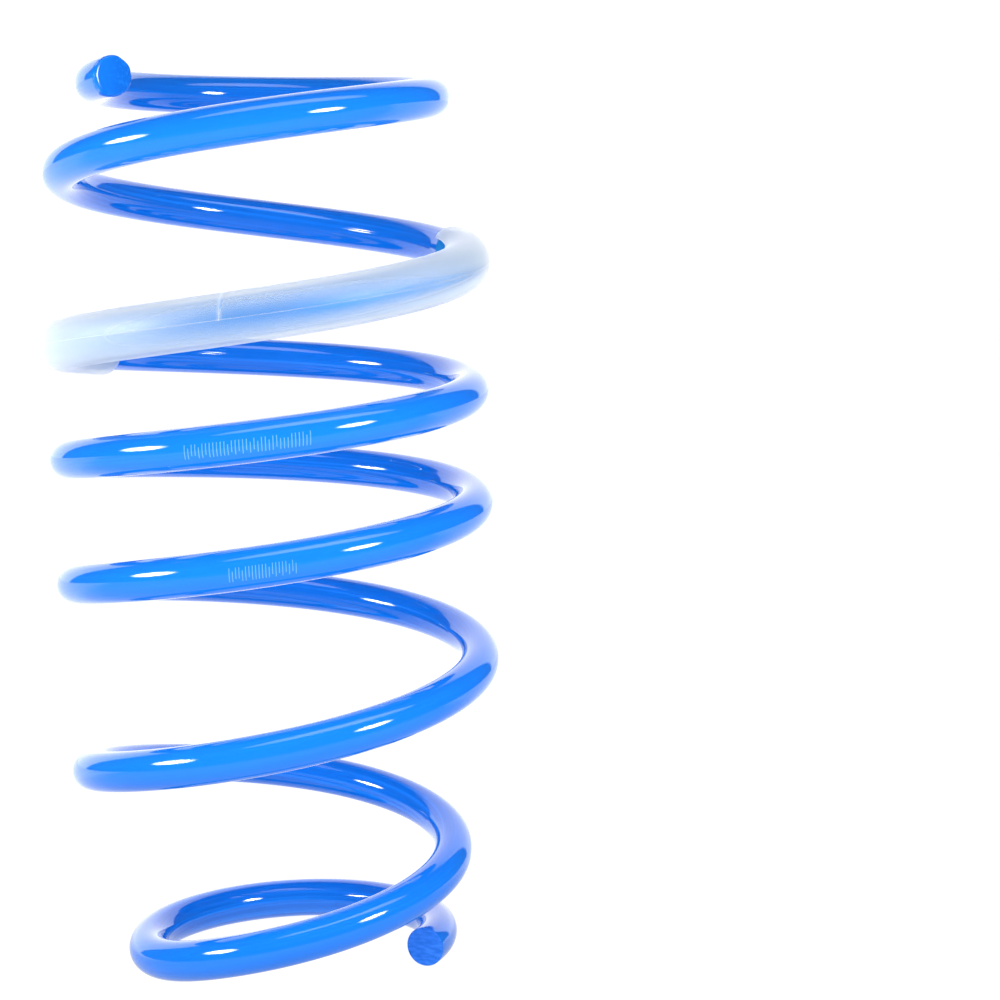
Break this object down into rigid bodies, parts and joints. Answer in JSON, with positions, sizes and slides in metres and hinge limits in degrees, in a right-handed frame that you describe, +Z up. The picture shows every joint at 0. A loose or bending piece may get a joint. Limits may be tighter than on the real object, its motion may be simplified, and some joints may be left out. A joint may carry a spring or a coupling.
{
  "type": "suspension coil spring",
  "caption": "Barrel-shaped compression coil spring of blue-coated round wire, wound right-handed, with closed end coils and a split plastic sleeve on one coil.",
  "frame": {"origin": "on the coil axis, in the plane that the lower end coil stands on", "axes": "+Z up along the coil axis towards the upper end coil, -Y towards the viewer, +X to the viewer's right"},
  "size_m": [0.1448, 0.1432, 0.292],
  "materials": {
    "coated_wire": "glossy powder coat",
    "sleeve_plastic": "milky translucent"
  },
  "bodies": {
    "lower_end": {"lower_end_coil": "coated_wire"},
    "coil_1_front": {"coil_1_front": "coated_wire"},
    "coil_1_right": {"coil_1_right": "coated_wire"},
    "coil_1_back": {"coil_1_back": "coated_wire"},
    "coil_1_left": {"coil_1_left": "coated_wire"},
    "coil_2_front": {"coil_2_front": "coated_wire"},
    "coil_2_right": {"coil_2_right": "coated_wire"},
    "coil_2_back": {"coil_2_back": "coated_wire"},
    "coil_2_left": {"coil_2_left": "coated_wire"},
    "coil_3_front": {"coil_3_front": "coated_wire"},
    "coil_3_right": {"coil_3_right": "coated_wire"},
    "coil_3_back": {"coil_3_back": "coated_wire"},
    "coil_3_left": {"coil_3_left": "coated_wire"},
    "coil_4_front": {"coil_4_front": "coated_wire"},
    "coil_4_right": {"coil_4_right": "coated_wire"},
    "coil_4_back": {"coil_4_back": "coated_wire"},
    "coil_4_left": {"coil_4_left": "coated_wire", "sleeve_left": "sleeve_plastic"},
    "coil_5_front": {"coil_5_front": "coated_wire", "sleeve_front": "sleeve_plastic"},
    "coil_5_right": {"coil_5_right": "coated_wire", "sleeve_right": "sleeve_plastic"},
    "coil_5_back": {"coil_5_back": "coated_wire"},
    "coil_5_left": {"coil_5_left": "coated_wire"},
    "coil_6_front": {"coil_6_front": "coated_wire"},
    "upper_end": {"upper_end_coil": "coated_wire"}
  },
  "joints": [
    {"name": "compression", "type": "slide", "parent": "lower_end", "child": "upper_end", "axis": [0, 0, 1], "range_m": [-0.08, 0], "stiffness_N_per_m": 24000},
    {"name": "coil_1_front_travel", "type": "slide", "parent": "lower_end", "child": "coil_1_front", "axis": [0, 0, 1], "range_m": [-0.001, 0]},
    {"name": "coil_1_right_travel", "type": "slide", "parent": "lower_end", "child": "coil_1_right", "axis": [0, 0, 1], "range_m": [-0.003, 0]},
    {"name": "coil_1_back_travel", "type": "slide", "parent": "lower_end", "child": "coil_1_back", "axis": [0, 0, 1], "range_m": [-0.0057, 0]},
    {"name": "coil_1_left_travel", "type": "slide", "parent": "lower_end", "child": "coil_1_left", "axis": [0, 0, 1], "range_m": [-0.0091, 0]},
    {"name": "coil_2_front_travel", "type": "slide", "parent": "lower_end", "child": "coil_2_front", "axis": [0, 0, 1], "range_m": [-0.0131, 0]},
    {"name": "coil_2_right_travel", "type": "slide", "parent": "lower_end", "child": "coil_2_right", "axis": [0, 0, 1], "range_m": [-0.0173, 0]},
    {"name": "coil_2_back_travel", "type": "slide", "parent": "lower_end", "child": "coil_2_back", "axis": [0, 0, 1], "range_m": [-0.0214, 0]},
    {"name": "coil_2_left_travel", "type": "slide", "parent": "lower_end", "child": "coil_2_left", "axis": [0, 0, 1], "range_m": [-0.0256, 0]},
    {"name": "coil_3_front_travel", "type": "slide", "parent": "lower_end", "child": "coil_3_front", "axis": [0, 0, 1], "range_m": [-0.0297, 0]},
    {"name": "coil_3_right_travel", "type": "slide", "parent": "lower_end", "child": "coil_3_right", "axis": [0, 0, 1], "range_m": [-0.0338, 0]},
    {"name": "coil_3_back_travel", "type": "slide", "parent": "lower_end", "child": "coil_3_back", "axis": [0, 0, 1], "range_m": [-0.038, 0]},
    {"name": "coil_3_left_travel", "type": "slide", "parent": "lower_end", "child": "coil_3_left", "axis": [0, 0, 1], "range_m": [-0.0421, 0]},
    {"name": "coil_4_front_travel", "type": "slide", "parent": "lower_end", "child": "coil_4_front", "axis": [0, 0, 1], "range_m": [-0.0463, 0]},
    {"name": "coil_4_right_travel", "type": "slide", "parent": "lower_end", "child": "coil_4_right", "axis": [0, 0, 1], "range_m": [-0.0504, 0]},
    {"name": "coil_4_back_travel", "type": "slide", "parent": "lower_end", "child": "coil_4_back", "axis": [0, 0, 1], "range_m": [-0.0546, 0]},
    {"name": "coil_4_left_travel", "type": "slide", "parent": "lower_end", "child": "coil_4_left", "axis": [0, 0, 1], "range_m": [-0.0587, 0]},
    {"name": "coil_5_front_travel", "type": "slide", "parent": "lower_end", "child": "coil_5_front", "axis": [0, 0, 1], "range_m": [-0.0629, 0]},
    {"name": "coil_5_right_travel", "type": "slide", "parent": "lower_end", "child": "coil_5_right", "axis": [0, 0, 1], "range_m": [-0.067, 0]},
    {"name": "coil_5_back_travel", "type": "slide", "parent": "lower_end", "child": "coil_5_back", "axis": [0, 0, 1], "range_m": [-0.0712, 0]},
    {"name": "coil_5_left_travel", "type": "slide", "parent": "lower_end", "child": "coil_5_left", "axis": [0, 0, 1], "range_m": [-0.0751, 0]},
    {"name": "coil_6_front_travel", "type": "slide", "parent": "lower_end", "child": "coil_6_front", "axis": [0, 0, 1], "range_m": [-0.0786, 0]}
  ],
  "couplings": [
    {"joint": "coil_1_front_travel", "follows": "compression", "ratio": 0.011},
    {"joint": "coil_1_right_travel", "follows": "compression", "ratio": 0.0368},
    {"joint": "coil_1_back_travel", "follows": "compression", "ratio": 0.0703},
    {"joint": "coil_1_left_travel", "follows": "compression", "ratio": 0.1129},
    {"joint": "coil_2_front_travel", "follows": "compression", "ratio": 0.1627},
    {"joint": "coil_2_right_travel", "follows": "compression", "ratio": 0.2145},
    {"joint": "coil_2_back_travel", "follows": "compression", "ratio": 0.2663},
    {"joint": "coil_2_left_travel", "follows": "compression", "ratio": 0.3182},
    {"joint": "coil_3_front_travel", "follows": "compression", "ratio": 0.37},
    {"joint": "coil_3_right_travel", "follows": "compression", "ratio": 0.4218},
    {"joint": "coil_3_back_travel", "follows": "compression", "ratio": 0.4736},
    {"joint": "coil_3_left_travel", "follows": "compression", "ratio": 0.5255},
    {"joint": "coil_4_front_travel", "follows": "compression", "ratio": 0.5773},
    {"joint": "coil_4_right_travel", "follows": "compression", "ratio": 0.6291},
    {"joint": "coil_4_back_travel", "follows": "compression", "ratio": 0.681},
    {"joint": "coil_4_left_travel", "follows": "compression", "ratio": 0.7328},
    {"joint": "coil_5_front_travel", "follows": "compression", "ratio": 0.7846},
    {"joint": "coil_5_right_travel", "follows": "compression", "ratio": 0.8364},
    {"joint": "coil_5_back_travel", "follows": "compression", "ratio": 0.8882},
    {"joint": "coil_5_left_travel", "follows": "compression", "ratio": 0.9375},
    {"joint": "coil_6_front_travel", "follows": "compression", "ratio": 0.9809}
  ]
}
